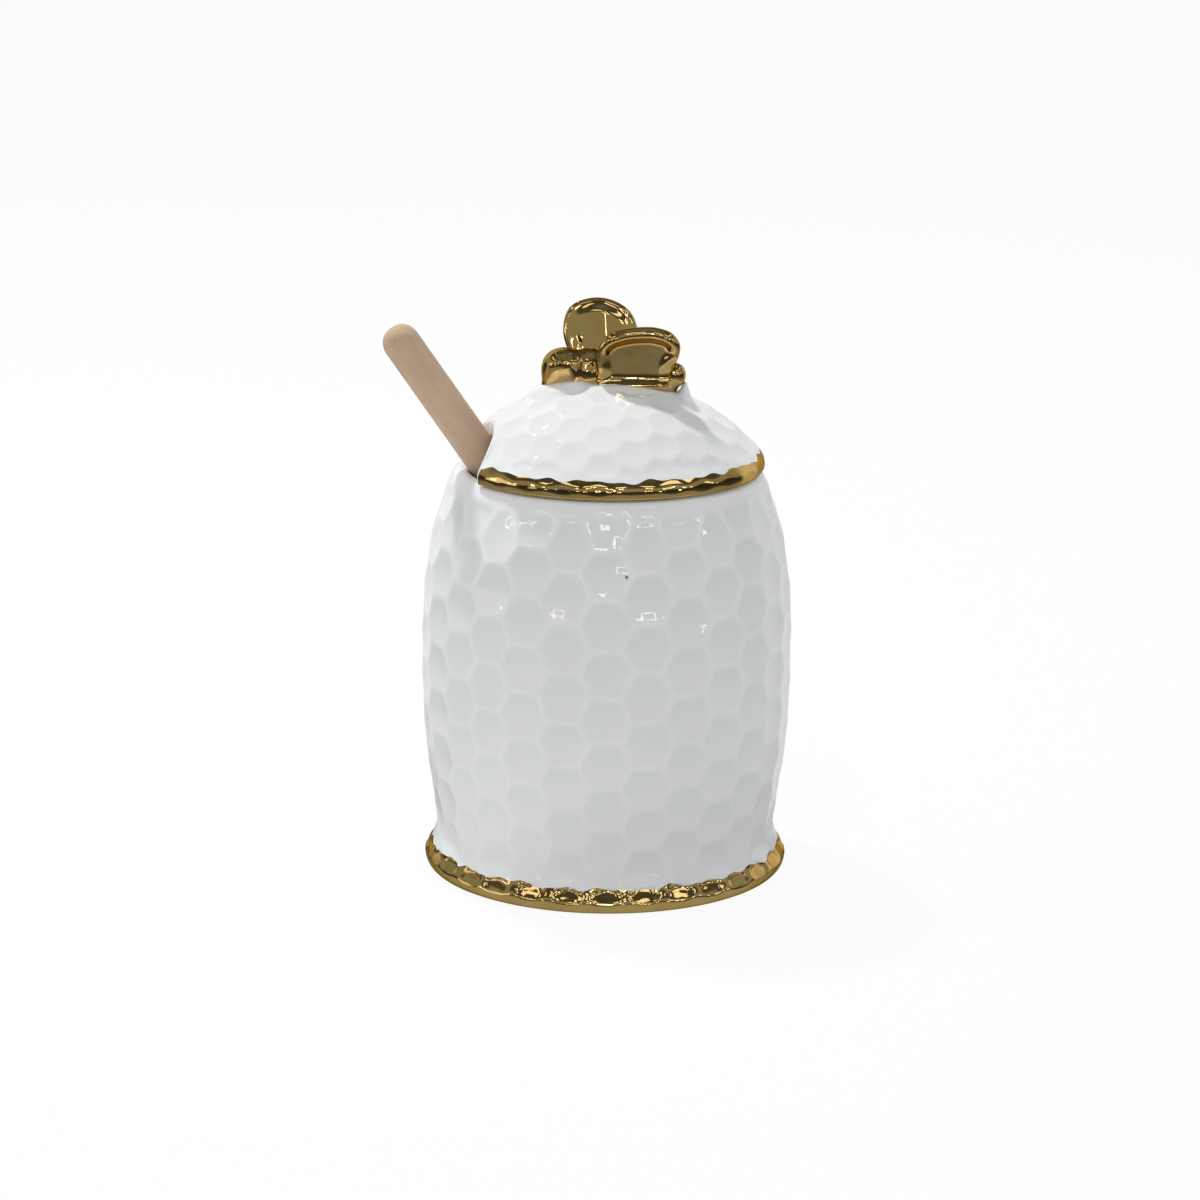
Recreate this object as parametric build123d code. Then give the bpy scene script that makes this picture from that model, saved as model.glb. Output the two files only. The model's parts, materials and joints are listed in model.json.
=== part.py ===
"""Glazed porcelain honey pot: lift-off domed lid with a bee finial and a dipper notch, wooden dipper.

Millimetres, +Z up. The origin is the centre of the flat underside of the foot. The dipper leans
towards -X, the bee faces -X, and -Y is the front.
"""
import os
from math import asin, atan, cos, hypot, pi, radians, sin, sqrt, tan

from build123d import *

# ---------------------------------------------------------------- driving dimensions: pot
pot_height = 110.0       # underside of the foot to the top of the rim
foot_r = 49.3            # widest part of the gilded foot
foot_z = 3.0             # height of that widest part
foot_undercut = 3.1      # from the widest part in to the edge of the flat underside
gild_z = 6.8             # height where the gilding ends
gild_in = 2.0            # from the widest part in to the side there
waist_r = 46.4           # narrowest part, just above the foot
waist_z = 11.5
flank_r = 48.4           # on the way from the waist to the belly
flank_z = 29.5
belly_r = 50.0
belly_z = 58.0
shoulder_r = 47.8
shoulder_z = 90.0
rim_outer_r = 40.8
rim_slope = 0.56         # inward run of the side per unit of rise, at the rim
mouth_r = 36.8           # before its edge is rounded
rim_round = 0.8          # rounding of the rim's two edges
wall = 3.5
floor_t = 5.0
corner_r = 10.0          # inside, where the wall meets the floor
foot_band_t = 4.5        # depth of the gilded zone, inwards from the narrower of foot and waist

# ---------------------------------------------------------------- driving dimensions: lid
seat_gap = 0.3           # lid rim above pot rim
lid_rim_r = 42.0         # bead of the lid's gilded rim
lid_rim_foot_r = 41.3    # its lower edge
lid_rim_h = 3.9
lid_rim_t = 2.8          # depth of the gilded zone inwards from the dome's edge
dome_edge_r = 41.2       # where the dome leaves the rim
dome_r = 53.4            # radius of the dome's sphere
dome_t = 3.5
flange_gap = 0.3         # locating flange to the mouth, on the radius
flange_t = 3.0
flange_depth = 5.6       # below the lid's seat
notch_r = 24.2           # vertical scallop that lets the dipper's handle through
notch_reach = 30.5       # lid's axis to the bottom of the scallop
notch_turn = 10.9        # from -X towards the front, degrees
flange_relief = 3.0      # how much wider the flange is cut away than the lid above it

# ---------------------------------------------------------------- driving dimensions: bee finial
pad_l = 41.8             # raised white bed under the bee
pad_w = 17.0
pad_t = 0.6
pad_x = 1.3              # its centre
pad_lip_h = 2.6          # glaze lip at the tail end
pad_lip_w = 9.0
pad_lip_t = 3.0
bee_axis_up = 1.3        # bee's long axis above the top of the dome
bee_head_r = 7.6
bee_head_x = -10.6       # centres along X
bee_thorax_r = 7.2
bee_thorax_x = 0.6
bee_rump_r = 6.5         # thick end of the abdomen
bee_rump_x = 8.4
bee_tail_r = 4.2         # thin end of the abdomen
bee_tail_x = 16.8
wing_t = 2.8
wing_round = 0.9
wing_lean = 18.0         # outwards from upright, degrees
wing_root_y = 5.0        # from the bee's middle plane, at the level of wing_root_up
wing_root_up = -0.6      # from the top of the dome
left_wing_w = 21.4       # front wing, spread towards the tail
left_wing_h = 18.1
left_wing_x = 7.7        # its middle
right_wing_w = 20.1      # back wing, upright and broader
right_wing_h = 21.9
right_wing_x = -2.4
wing_root_w = 12.0       # width where both wings leave the body

# ---------------------------------------------------------------- driving dimensions: dipper
handle_r = 5.0
dipper_length = 171.3
handle_turn = 8.0        # from -X towards the front, degrees
rest_gap = 0.25          # handle to the edge of the mouth
tenon_r = 3.8            # reduced end of the handle, glued into the head
tenon_depth = 18.0
head_r = 13.0
head_shoulder_r = 7.5
head_shoulder_h = 4.0    # plain cone between the handle and the first ring
head_ring_t = 2.6
head_groove_t = 2.0
head_rings = 6
head_core_r = 7.6
head_tip_r = 7.0
tip_gap = 0.3            # tip of the head to the rounded corner of the floor
tip_seat = 40.0          # where the tip stands in that corner, degrees below level
head_shoulder_round = 0.6

# ---------------------------------------------------------------- derived places
base_r = foot_r - foot_undercut
gild_r = foot_r - gild_in
seat_z = pot_height + seat_gap
lid_rim_top = seat_z + lid_rim_h
dome_z = lid_rim_top - sqrt(dome_r**2 - dome_edge_r**2)
dome_top = dome_z + dome_r
flange_r = mouth_r - flange_gap
bee_z = dome_top + bee_axis_up


def turned(outline):
    """A solid of revolution about Z from a closed outline drawn in the XZ plane."""
    return revolve(Plane.XZ * make_face(outline), Axis.Z)


def ring_zone(r_in, r_out, z_low, z_high):
    """A plain ring between two radii and two heights."""
    outer = Pos(0, 0, z_low) * Cylinder(r_out, z_high - z_low, align=(Align.CENTER, Align.CENTER, Align.MIN))
    inner = Pos(0, 0, z_low) * Cylinder(r_in, z_high - z_low, align=(Align.CENTER, Align.CENTER, Align.MIN))
    return outer - inner


# ---------------------------------------------------------------- pot
def pot_side(inset, low_z, top_r):
    """Barrel-shaped side, inset from the outside, from low_z near the waist up to the rim."""
    low = Spline((waist_r - inset, low_z), (flank_r - inset, flank_z), (belly_r - inset, belly_z),
                 tangents=((0, 1), (0, 1)))
    high = Spline((belly_r - inset, belly_z), (shoulder_r - inset, shoulder_z), (top_r, pot_height),
                  tangents=((0, 1), (-rim_slope, 1)))
    return low + high


def climb(low, high, low_slope=0.0, high_slope=0.0):
    """Curve that rises steadily from low to high; a slope is its outward run per unit of rise at that end."""
    third = (high[1] - low[1]) / 3
    return Bezier(low, (low[0] + low_slope * third, low[1] + third),
                  (high[0] - high_slope * third, high[1] - third), high)


def pot_foot():
    """Rounded foot from the flat underside, in and up to the waist."""
    neck_slope = (waist_r - foot_r) / (waist_z - foot_z)
    bulge_slope = 3 * foot_undercut / foot_z
    return (climb((base_r, 0), (foot_r, foot_z), low_slope=bulge_slope)
            + climb((foot_r, foot_z), (gild_r, gild_z), high_slope=neck_slope)
            + climb((gild_r, gild_z), (waist_r, waist_z), low_slope=neck_slope))


def pot_outside():
    closing = Polyline((rim_outer_r, pot_height), (0, pot_height), (0, 0), (base_r, 0))
    return turned(pot_foot() + pot_side(0, waist_z, rim_outer_r) + closing)


def pot_inside():
    low_r = waist_r - wall
    corner = CenterArc((low_r - corner_r, floor_t + corner_r), corner_r, -90, 90)
    side = pot_side(wall, floor_t + corner_r, mouth_r)
    closing = Polyline((mouth_r, pot_height), (0, pot_height), (0, floor_t), (low_r - corner_r, floor_t))
    return turned(corner + side + closing)


def make_pot():
    shell = pot_outside() - pot_inside()
    rim = shell.edges().filter_by(GeomType.CIRCLE).filter_by_position(Axis.Z, pot_height - 0.01, pot_height + 0.01)
    shell = fillet(rim, rim_round)
    band = ring_zone(min(foot_r, waist_r) - foot_band_t, foot_r + wall, 0, gild_z)
    return shell - band, shell & band


# ---------------------------------------------------------------- lid
def make_lid():
    inner_r = dome_r - dome_t
    flange_in = flange_r - flange_t
    split_r = dome_edge_r - lid_rim_t

    mid_out = asin(0.5 * dome_edge_r / dome_r)
    mid_in = asin(0.5 * flange_in / inner_r)
    outside = ThreePointArc((dome_edge_r, lid_rim_top), (dome_r * sin(mid_out), dome_z + dome_r * cos(mid_out)),
                            (0, dome_top))
    under_z = dome_z + sqrt(inner_r**2 - flange_in**2)
    inside = ThreePointArc((0, dome_z + inner_r), (inner_r * sin(mid_in), dome_z + inner_r * cos(mid_in)),
                           (flange_in, under_z))
    closing = (Line((0, dome_top), (0, dome_z + inner_r))
               + Polyline((flange_in, under_z), (flange_in, seat_z - flange_depth), (flange_r, seat_z - flange_depth),
                          (flange_r, seat_z), (split_r, seat_z), (split_r, lid_rim_top), (dome_edge_r, lid_rim_top)))
    dome = turned(outside + inside + closing)

    bead = Spline((lid_rim_foot_r, seat_z), (lid_rim_r, seat_z + 0.55 * lid_rim_h), (dome_edge_r, lid_rim_top))
    rim = turned(bead + Polyline((dome_edge_r, lid_rim_top), (split_r, lid_rim_top), (split_r, seat_z),
                                 (lid_rim_foot_r, seat_z)))

    notch = scallop(notch_r, lid_rim_top + dome_r)
    relief = scallop(notch_r + flange_relief, seat_z)
    return dome - notch - relief + finial_bed() + finial_lip(), rim - notch


def scallop(radius, top):
    """Upright cylinder that cuts the notch, from below the flange up to a height."""
    low = seat_z - 2 * flange_depth
    centre = notch_reach + notch_r
    return Rot(0, 0, 180 + notch_turn) * Pos(centre, 0, low) * Cylinder(
        radius, top - low, align=(Align.CENTER, Align.CENTER, Align.MIN))


def dome_ball(extra):
    """Ball concentric with the dome, larger than its outside by extra; its poles lie along Y, clear of the bee."""
    return Pos(0, 0, dome_z) * Rot(90, 0, 0) * Sphere(dome_r + extra)


def finial_bed():
    """White bed under the bee, which follows the dome."""
    footprint = Pos(pad_x, 0, dome_z) * extrude(Ellipse(pad_l / 2, pad_w / 2), dome_r * 1.2)
    return footprint & (dome_ball(pad_t) - dome_ball(-dome_t / 2))


def finial_lip():
    """Lip of glaze that stands up behind the bee's tail."""
    x = pad_x + pad_l / 2 - pad_lip_t / 2
    z = dome_z + sqrt(dome_r**2 - x**2)
    lip = Pos(x, 0, z) * scale(Sphere(1), by=(pad_lip_t / 2, pad_lip_w / 2, pad_lip_h))
    return lip - dome_ball(-dome_t / 2)


# ---------------------------------------------------------------- bee finial
def make_bee():
    body = bee_lump(bee_head_r, bee_head_x) + bee_lump(bee_thorax_r, bee_thorax_x) + bee_abdomen()
    body = body - dome_ball(pad_t)
    return body, wing(left_wing(), -1) - body - dome_ball(pad_t), wing(right_wing(), 1) - body - dome_ball(pad_t)


def bee_lump(radius, x):
    return Pos(x, 0, bee_z) * Rot(0, 90, 0) * Sphere(radius)


def bee_abdomen():
    """Two balls joined by the cone that touches both."""
    length = bee_tail_x - bee_rump_x
    slope = asin((bee_rump_r - bee_tail_r) / length)
    thick, thin = bee_rump_r * cos(slope), bee_tail_r * cos(slope)
    start, stop = bee_rump_x + bee_rump_r * sin(slope), bee_tail_x + bee_tail_r * sin(slope)
    cone = Pos(start, 0, bee_z) * Rot(0, 90, 0) * Cone(thick, thin, stop - start,
                                                       align=(Align.CENTER, Align.CENTER, Align.MIN))
    return bee_lump(bee_rump_r, bee_rump_x) + cone + bee_lump(bee_tail_r, bee_tail_x)


def left_wing():
    """Leaf that spreads low towards the tail: a flat top and a rounded tip."""
    x, w, h = left_wing_x, left_wing_w / 2, left_wing_h
    return Spline((x - wing_root_w / 2 - 0.2 * w, 0), (x - w, 0.53 * h), (x - 0.74 * w, 0.86 * h), (x, h),
                  (x + 0.72 * w, 0.95 * h), (x + w, 0.65 * h), (x + 0.75 * w, 0.37 * h), (x + wing_root_w / 4, 0),
                  periodic=True)


def right_wing():
    """Broad upright leaf."""
    x, w, h = right_wing_x, right_wing_w / 2, right_wing_h
    return Spline((x - wing_root_w / 2, 0), (x - w, 0.62 * h), (x - 0.75 * w, 0.92 * h), (x, h), (x + 0.76 * w, 0.86 * h),
                  (x + w, 0.56 * h), (x + wing_root_w / 2, 0), periodic=True)


def wing(outline, side):
    """A leaf of even thickness, leaning out from the bee's middle plane to side -1 (front) or +1 (back)."""
    leaf = extrude(make_face(outline), wing_t / 2, both=True)
    leaf = fillet(leaf.edges(), wing_round)
    place = Pos(0, side * wing_root_y, dome_top + wing_root_up) * Rot(90 - side * wing_lean, 0, 0)
    return place * leaf


# ---------------------------------------------------------------- dipper
def dipper_frame():
    """Plane at the centre of the head's tip, with Z up the handle.

    The tip stands in the rounded corner of the floor and the handle leans on the edge of the mouth.
    In the plane of the lean, r is counted away from the side that the handle leans to.
    """
    free = corner_r - head_tip_r - tip_gap
    tip_r = waist_r - wall - corner_r + free * cos(radians(tip_seat))
    tip_z = floor_t + corner_r - free * sin(radians(tip_seat))
    rim_wedge = pi / 2 - atan(rim_slope)
    run = tip_r + mouth_r + rim_round / tan(rim_wedge / 2)
    rise = pot_height - rim_round - tip_z
    lean = atan(run / rise) - asin((rim_round + rest_gap + handle_r) / hypot(run, rise))
    turn = radians(handle_turn)
    up = (-sin(lean) * cos(turn), -sin(lean) * sin(turn), cos(lean))
    print(f"dipper leans {lean * 180 / pi:.2f} degrees, along {up[0]:.5f} {up[1]:.5f} {up[2]:.5f}")
    return Plane(origin=(tip_r * cos(turn), tip_r * sin(turn), tip_z), z_dir=up)


def head_outline():
    """Half section of the turned head about its own axis, from the tip up."""
    pitch = head_ring_t + head_groove_t
    points = []
    z = head_tip_r * 0.55
    for ring in range(head_rings):
        r = head_r if 0 < ring < head_rings - 1 else head_r * 0.9
        points += [(head_core_r, z), (r, z), (r, z + head_ring_t), (head_core_r, z + head_ring_t)]
        z += pitch
    return points, z - head_groove_t


def make_dipper():
    frame = dipper_frame()
    points, top = head_outline()
    head_top = top + head_shoulder_h
    start_r, start_z = points[0]
    tip = ThreePointArc((0, -head_tip_r), (head_tip_r * 0.72, -head_tip_r * 0.69), (start_r, start_z))
    body = Polyline(*points, (head_shoulder_r, head_top), (0, head_top), (0, -head_tip_r))
    head = turned(tip + body)
    ring_edges = [e for e in head.edges().filter_by(GeomType.CIRCLE) if e.radius > head_r * 0.85]
    head = fillet(ring_edges, head_shoulder_round)
    bore = Pos(0, 0, head_top - tenon_depth) * Cylinder(tenon_r, tenon_depth,
                                                         align=(Align.CENTER, Align.CENTER, Align.MIN))
    head = head - bore

    end_z = dipper_length - head_tip_r - handle_r
    stick = Pos(0, 0, head_top) * Cylinder(handle_r, end_z - head_top,
                                           align=(Align.CENTER, Align.CENTER, Align.MIN))
    end = Pos(0, 0, end_z) * Sphere(handle_r)
    return frame * (stick + end + bore), frame * head


# ---------------------------------------------------------------- write the pieces
pot_body, pot_foot_rim = make_pot()
lid_dome, lid_rim = make_lid()
bee_body, bee_left_wing, bee_right_wing = make_bee()
dipper_handle, dipper_head = make_dipper()

pieces = {
    "pot_body": pot_body,
    "pot_foot_rim": pot_foot_rim,
    "lid_dome": lid_dome,
    "lid_rim": lid_rim,
    "bee_body": bee_body,
    "bee_left_wing": bee_left_wing,
    "bee_right_wing": bee_right_wing,
    "dipper_handle": dipper_handle,
    "dipper_head": dipper_head,
}

os.makedirs("parts", exist_ok=True)
for name, shape in pieces.items():
    export_step(shape, f"parts/{name}.step")
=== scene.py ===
# %% [markdown]
# # A honey pot with a bee on its lid
#
# This lesson dresses a glazed porcelain honey pot: a barrel pressed all over with honeycomb dimples, a
# domed lid with a notch, a small gold bee as its knob, and a wooden dipper that leans out of the notch.
# Blender adds what the eye sees: the relief, the glaze, the gold lustre and the wood.

# %% Load the frame
import json
from math import acos, atan2, cos, pi, radians, sin, sqrt

import bmesh
import bpy
import numpy as np
from mathutils import Matrix, Vector, noise
from mathutils.geometry import interpolate_bezier

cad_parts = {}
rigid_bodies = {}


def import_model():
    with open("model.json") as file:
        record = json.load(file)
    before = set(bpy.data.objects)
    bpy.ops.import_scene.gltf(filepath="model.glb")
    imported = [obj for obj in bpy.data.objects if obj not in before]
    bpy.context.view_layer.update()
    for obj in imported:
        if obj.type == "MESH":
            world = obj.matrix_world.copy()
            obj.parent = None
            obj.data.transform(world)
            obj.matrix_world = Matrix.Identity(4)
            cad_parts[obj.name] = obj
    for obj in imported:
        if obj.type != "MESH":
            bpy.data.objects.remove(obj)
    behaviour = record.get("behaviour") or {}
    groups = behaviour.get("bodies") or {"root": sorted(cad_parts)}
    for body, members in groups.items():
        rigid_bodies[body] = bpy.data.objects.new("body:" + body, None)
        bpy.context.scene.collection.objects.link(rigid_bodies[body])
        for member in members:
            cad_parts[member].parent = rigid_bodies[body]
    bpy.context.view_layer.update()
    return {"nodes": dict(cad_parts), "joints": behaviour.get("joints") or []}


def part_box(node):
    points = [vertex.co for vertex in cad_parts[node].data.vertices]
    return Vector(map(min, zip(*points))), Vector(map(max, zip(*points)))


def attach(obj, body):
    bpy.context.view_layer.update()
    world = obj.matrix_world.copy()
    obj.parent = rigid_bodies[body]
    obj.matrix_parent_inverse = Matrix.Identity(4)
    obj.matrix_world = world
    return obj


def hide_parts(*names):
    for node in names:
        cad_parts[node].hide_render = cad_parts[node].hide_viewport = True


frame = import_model()
MM = 0.001
print("CAD nodes:", ", ".join(sorted(frame["nodes"])))

# %% [markdown]
# ## Camera
#
# The pot is seen from a metre away and a little above, through a long lens, so its sides look almost
# parallel. A constraint could aim the camera, but a matrix does it in one step: its columns point
# right, up and back, and the small roll of a hand-held shot stays in one named number.

# %% Place the camera
camera_place = Vector((0.0, -1.0084, 0.3337))
camera_aim = Vector((-0.0019, 0.0, 0.0733))
camera_roll = 0.0083


def look(place, aim, roll=0.0):
    """Matrix of a camera or lamp that stands at place and looks at aim."""
    ahead = (aim - place).normalized()
    level = ahead.cross(Vector((0, 0, 1))).normalized()
    above = level.cross(ahead)
    right = level * cos(roll) + above * sin(roll)
    up = right.cross(ahead)
    turn = Matrix((right, up, -ahead)).transposed()
    return Matrix.Translation(place) @ turn.to_4x4()


camera = bpy.data.objects.new("camera", bpy.data.cameras.new("camera"))
camera.data.sensor_width = 36.0
camera.data.lens = 115.635
camera.matrix_world = look(camera_place, camera_aim, camera_roll)
bpy.context.scene.collection.objects.link(camera)
bpy.context.scene.camera = camera
bpy.context.scene.view_settings.view_transform = "Standard"
print("camera stands", round(camera_place.length, 3), "m from the pot")

# %% [markdown]
# ## Shader maths in plain Python
#
# A finish is a small program made of nodes. Wiring every Math node by hand hides what the finish does,
# so one class wraps an output socket and turns `a * b + c` into nodes, and one more adds any other
# node.

# %% A wrapper for sockets and one for node trees
class Wire:
    """One output socket. Arithmetic on it adds Math nodes to its shader."""

    def __init__(self, shader, socket):
        self.shader = shader
        self.socket = socket

    def math(self, operation, *values):
        return self.shader.node("Math", {"operation": operation}, dict(enumerate(values)))

    def __add__(self, other):
        return self.math("ADD", self, other)

    def __sub__(self, other):
        return self.math("SUBTRACT", self, other)

    def __rsub__(self, other):
        return self.math("SUBTRACT", other, self)

    def __mul__(self, other):
        return self.math("MULTIPLY", self, other)

    def __truediv__(self, other):
        return self.math("DIVIDE", self, other)

    def __pow__(self, other):
        return self.math("POWER", self, other)

    def __gt__(self, other):
        return self.math("GREATER_THAN", self, other)

    def __abs__(self):
        return self.math("ABSOLUTE", self)

    __radd__ = __add__
    __rmul__ = __mul__


class Shader:
    """A material's or world's node tree."""

    def __init__(self, owner):
        owner.use_nodes = True
        self.tree = owner.node_tree
        self.tree.nodes.clear()

    def node(self, kind, settings=None, sockets=None, out=0):
        """Add one node: first its settings, then the values or links of its sockets."""
        made = self.tree.nodes.new("ShaderNode" + kind)
        for name, value in (settings or {}).items():
            if name == "stops":
                set_stops(made.color_ramp, value)
            else:
                setattr(made, name, value)
        for name, value in (sockets or {}).items():
            if isinstance(value, Wire):
                self.tree.links.new(value.socket, made.inputs[name])
            else:
                made.inputs[name].default_value = value
        return Wire(self, made.outputs[out]) if made.outputs else None

    def mix(self, share, first, second):
        """Colour between first (share 0) and second (share 1)."""
        return self.node("Mix", {"data_type": "RGBA"}, {0: share, 6: first, 7: second}, out=2)

    def ramp(self, value, *stops):
        """Plain number that follows value through the given (place, number) stops."""
        coloured = [(place, (number, number, number, 1)) for place, number in stops]
        return self.node("ValToRGB", {"stops": coloured}, {"Fac": value})

    def step(self, value, low, high):
        """0 below low, 1 above high, with a soft change between."""
        settings = {"interpolation_type": "SMOOTHSTEP"}
        return self.node("MapRange", settings, {"Value": value, "From Min": low, "From Max": high})

    def noise(self, place, scale, detail=2.0, roughness=0.5):
        """Cloudy noise about 0.5; scale is its number of waves per metre."""
        sockets = {"Vector": place, "Scale": scale, "Detail": detail, "Roughness": roughness}
        return self.node("TexNoise", {}, sockets)

    def axes(self, place):
        """The three coordinates of a place, as numbers."""
        parts = self.tree.nodes.new("ShaderNodeSeparateXYZ")
        self.tree.links.new(place.socket, parts.inputs[0])
        return [Wire(self, socket) for socket in parts.outputs]


def set_stops(ramp, stops):
    """Give a colour ramp its (place, colour) stops."""
    while len(ramp.elements) < len(stops):
        ramp.elements.new(0.5)
    for element, (place, colour) in zip(ramp.elements, stops):
        element.position = place
        element.color = colour


print("shader helpers ready")

# %% [markdown]
# ## The studio
#
# White ware is shown on white paper, with the room behind the camera left dim. The paper gives the
# glaze its clean light, and the dim room gives the gold its contrast: a mirror is only as lively as
# what it reflects. So the world here answers three questions. The camera sees white. Diffuse light sees
# a soft sky, brighter to both sides, and two lamps above give the shallow relief its light and shade.
# Gloss sees the studio: a table and a dim room in front, white paper behind and on the left, thin
# window frames of light, which the concave dimples bend into little hooks and rings, and one row of
# lamps above, which draws a bright line round each hammer mark of the gold. The two real lamps are
# hidden from gloss, because each would leave a plain hot spot where the glaze should show a window.

# %% Floor and lamps
def lamp(name, place, aim, size, watts):
    """A soft square lamp that looks at a point of the pot; gloss shows the world's lamps instead."""
    light = bpy.data.lights.new(name, "AREA")
    light.size = size
    light.energy = watts
    made = bpy.data.objects.new(name, light)
    made.matrix_world = look(Vector(place), Vector(aim))
    made.visible_glossy = False
    bpy.context.scene.collection.objects.link(made)


lamp("key", (-0.40, 0.45, 1.20), (0, 0, 0.1), 0.09, 9.6)
lamp("front", (-0.20, -0.80, 1.15), (0, 0, 0.06), 0.4, 3.2)

paper_reach = 40.0
paper = bmesh.new()
bmesh.ops.create_grid(paper, x_segments=1, y_segments=1, size=paper_reach)
floor_mesh = bpy.data.meshes.new("paper")
paper.to_mesh(floor_mesh)
paper.free()
floor = bpy.data.objects.new("paper", floor_mesh)
bpy.context.scene.collection.objects.link(floor)
print("floor reaches", paper_reach, "m each way")

# %% Paper that the camera sees white and gloss sees as a table
def backdrop(shader, east, north):
    """Share of white paper in a level direction: behind the pot, and further forward on the right."""
    toward_paper = north * 0.985 + east * 0.17
    return shader.step(toward_paper, 0.45, 0.75)


paper_look = bpy.data.materials.new("white_paper")
shade = Shader(paper_look)
seen = shade.node("LightPath", out="Is Camera Ray")
glossy = shade.node("LightPath", out="Is Glossy Ray")
mirrored = glossy + shade.node("LightPath", out="Is Transmission Ray")
east, north, up = shade.axes(shade.node("TexCoord", out="Object"))
radius = (east**2 + north**2) ** 0.5
table_end = 0.5
table = shade.ramp(radius / table_end, (0.11, 0.42), (0.16, 0.26), (0.50, 0.28), (0.85, 0.12), (1.0, 0.03))
greenish = shade.mix(table, (0, 0, 0, 1), (0.98, 1.05, 0.92, 1))
on_paper = backdrop(shade, east / radius, north / radius)
mirrored_floor = shade.mix(on_paper, greenish, (0.75, 0.75, 0.75, 1))
shown = shade.mix(mirrored, (1, 1, 1, 1), mirrored_floor)
glow = shade.node("Emission", {}, {"Color": shown, "Strength": 1.0})
white_paper = shade.mix(seen, (0.90, 0.90, 0.90, 1), (0.93, 0.93, 0.93, 1))
sheet = shade.node("BsdfDiffuse", {}, {"Color": white_paper})
own_light = seen * 0.93 + mirrored * 0.96
lit = shade.node("MixShader", {}, {0: own_light, 1: sheet, 2: glow})
shade.node("OutputMaterial", {}, {"Surface": lit})
floor_mesh.materials.append(paper_look)
print("paper:", len(shade.tree.nodes), "nodes")

# %% Windows of light in the room
world = bpy.data.worlds.new("studio")
bpy.context.scene.world = world
sky = Shader(world)
toward = sky.node("TexCoord", out="Generated")
east, north, up = sky.axes(toward)


def window(azimuth, height, width, tall, line=0.36):
    """Share of light from a window's bright frame; its place, half sizes and line are in degrees."""
    a, e = radians(azimuth), radians(height)
    ahead = (sin(a) * cos(e), -cos(a) * cos(e), sin(e))
    side = (cos(a), sin(a), 0.0)
    above = (-sin(a) * sin(e), cos(a) * sin(e), cos(e))
    along = {"operation": "DOT_PRODUCT"}
    depth, across, over = [sky.node("VectorMath", along, {0: toward, 1: axis}, out="Value")
                           for axis in (ahead, side, above)]
    sideways = abs(across / depth) / radians(width)
    reach = sideways.math("MAXIMUM", sideways, abs(over / depth) / radians(tall))
    border = line / min(width, tall)
    inside = (1.0 - sky.step(reach, 1.0, 1.05)) * sky.step(reach, 1.0 - border - 0.05, 1.0 - border)
    return inside * (depth > 0)


# Two small lamps behind, one tall window in front, and a hall of window frames.
window_lamps = window(-150, 46, 1.0, 1.0, 1.0) + window(-124, 62, 1.0, 1.0, 1.0)
window_lamps = window_lamps + window(1, 26, 1.4, 4.5, 0.9)
for azimuth, height, width, tall in (
        (-8, 9, 2.6, 1.8), (10, 7, 2.0, 2.8), (-25, 11, 2.4, 2.0), (27, 12, 3.0, 1.8),
        (-5, 34, 2.6, 1.8), (13, 36, 1.8, 2.6), (-29, 33, 2.2, 2.4), (31, 34, 2.8, 1.9),
        (-50, 22, 2.8, 2.2), (-66, 15, 2.0, 3.0), (52, 20, 2.4, 3.2), (70, 17, 2.4, 2.0),
        (-42, 4, 2.4, 1.7), (43, 3, 1.8, 2.6), (-82, 8, 1.7, 2.6), (84, 9, 1.9, 2.0)):
    window_lamps = window_lamps + window(azimuth, height, width, tall)
print("windows:", len(sky.tree.nodes), "nodes")

# %% World: white for the camera, soft for diffuse light, a dim room with lamps for gloss
behind = backdrop(sky, east, north) * (1.0 - sky.step(up, 0.30, 0.70) * 0.95)
toward_left = east * -0.985 - north * 0.17
left_sheet = sky.step(toward_left, 0.93, 0.965)
room = sky.ramp(up * 0.5 + 0.5, (0.45, 0.02), (0.56, 0.03), (0.61, 0.28), (0.76, 0.32),
                (0.81, 0.08), (0.93, 0.07), (0.99, 0.20))
greenish = sky.mix(room, (0, 0, 0, 1), (0.98, 1.05, 0.92, 1))
studio = sky.mix(behind, sky.mix(left_sheet, greenish, (1.1, 1.07, 1.02, 1)), (0.85, 0.85, 0.85, 1))
# The row's lamps stand apart, so that they show in the gaps between the hammer marks of the foot.
turned = east.math("ARCTAN2", east, north * -1.0)
lamps_round = 15.0
spaced = turned.math("COSINE", turned * lamps_round) * -1.0 > -0.1
in_row = sky.step(up, 0.70, 0.71) * (1.0 - sky.step(up, 0.79, 0.80))
row_lamps = spaced * in_row * (north * -1.0 > -0.3)
lamped = sky.mix(window_lamps + row_lamps, studio, (1, 1, 1, 1))
window_power, row_power = 7.5, 0.5
power = window_lamps * window_power + row_lamps * row_power + 1.0
gloss = sky.node("Background", {}, {"Color": lamped, "Strength": power})
soft = sky.node("Background", {}, {"Color": (0.97, 0.99, 1.0, 1), "Strength": east**2 * 0.80 + 0.23})
white = sky.node("Background", {}, {"Color": (1, 1, 1, 1), "Strength": 1.0})
mirrored = sky.node("LightPath", out="Is Glossy Ray") + sky.node("LightPath", out="Is Transmission Ray")
lit = sky.node("MixShader", {}, {0: mirrored, 1: soft, 2: gloss})
whole = sky.node("MixShader", {}, {0: sky.node("LightPath", out="Is Camera Ray"), 1: lit, 2: white})
sky.node("OutputWorld", {}, {"Surface": whole})
print("world:", len(sky.tree.nodes), "nodes")

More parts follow.
